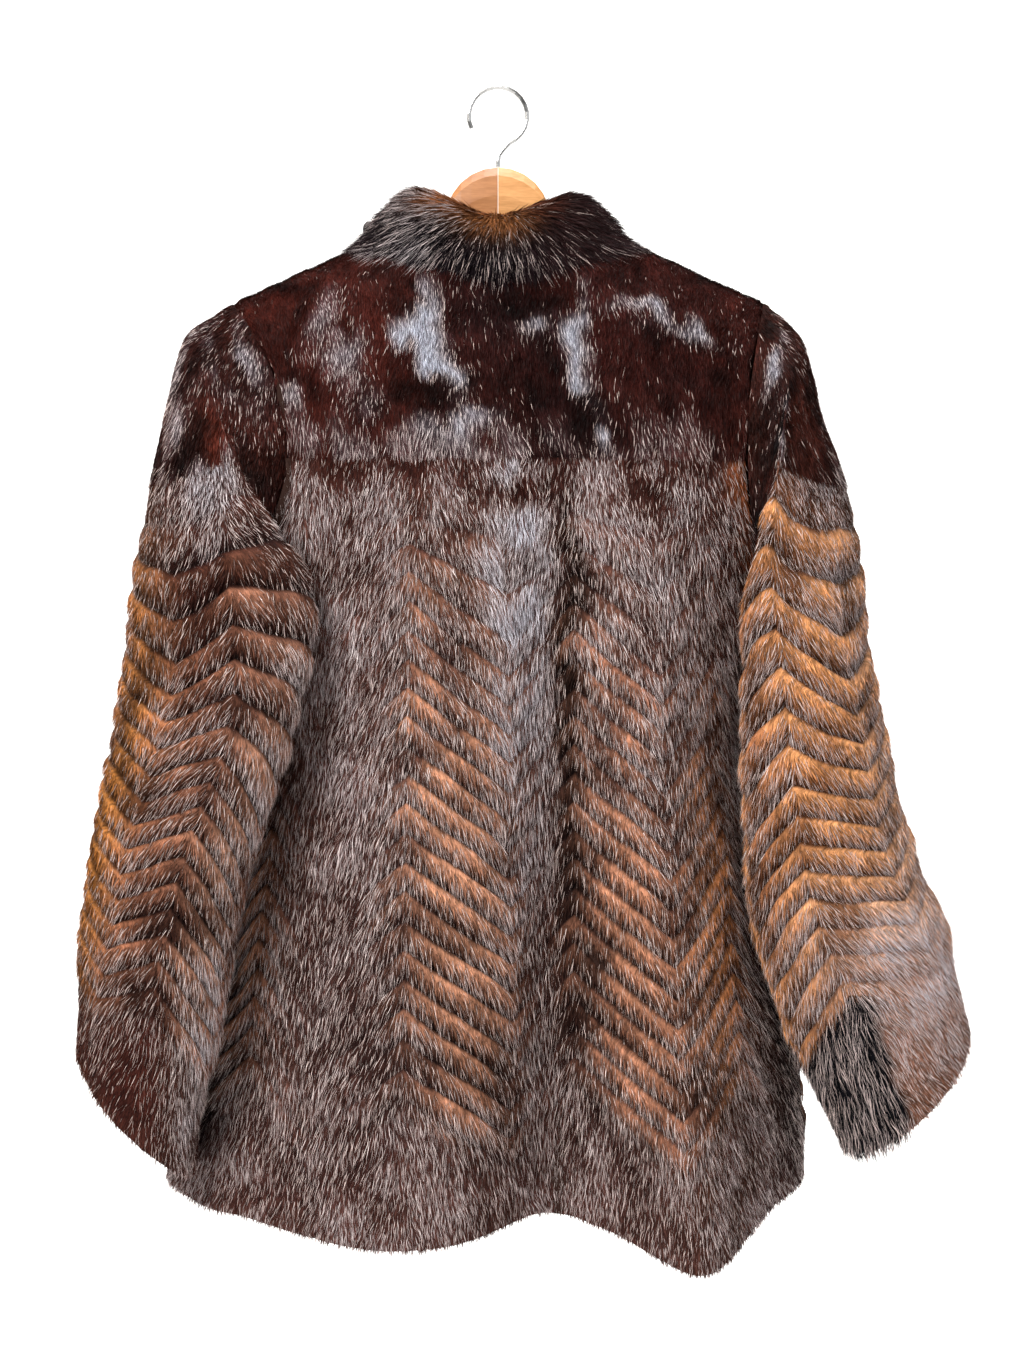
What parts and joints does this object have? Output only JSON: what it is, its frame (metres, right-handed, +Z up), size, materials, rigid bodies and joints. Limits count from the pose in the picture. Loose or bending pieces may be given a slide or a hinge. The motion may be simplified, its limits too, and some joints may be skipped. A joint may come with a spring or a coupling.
{
  "type": "fur coat on a wooden coat hanger",
  "caption": "Hip-length chevron-ribbed fur coat with a stand collar and wide sleeves, hanging open at the neck on a contoured wooden hanger with a wire hook.",
  "frame": {"origin": "the inside top of the hanger's hook, where it rests on a rail", "axes": "+Z up, -Y out of the coat's back, +Y out of its front, +X to the right of someone who looks at the back"},
  "size_m": [0.6639, 0.286, 0.851],
  "materials": {
    "fur_dark": "dark brown mink, smooth, with a soft sheen",
    "fur_brown": "grey-brown mink in raised chevron ribs",
    "fur_gold": "golden brown mink in raised chevron ribs",
    "fur_black": "black-brown mink, longer at the collar",
    "beech": "clear satin lacquer",
    "steel_wire": "bright plated wire"
  },
  "bodies": {
    "root": {"back_yoke": "fur_dark", "back_panel": "fur_brown", "front_left": "fur_brown", "front_right": "fur_brown", "sleeve_cap_left": "fur_dark", "sleeve_cap_right": "fur_dark", "sleeve_left": "fur_brown", "sleeve_right": "fur_gold", "collar": "fur_black", "collar_button": "fur_black", "hanger_left": "beech", "hanger_right": "beech", "hanger_hook": "steel_wire"}
  },
  "joints": []
}
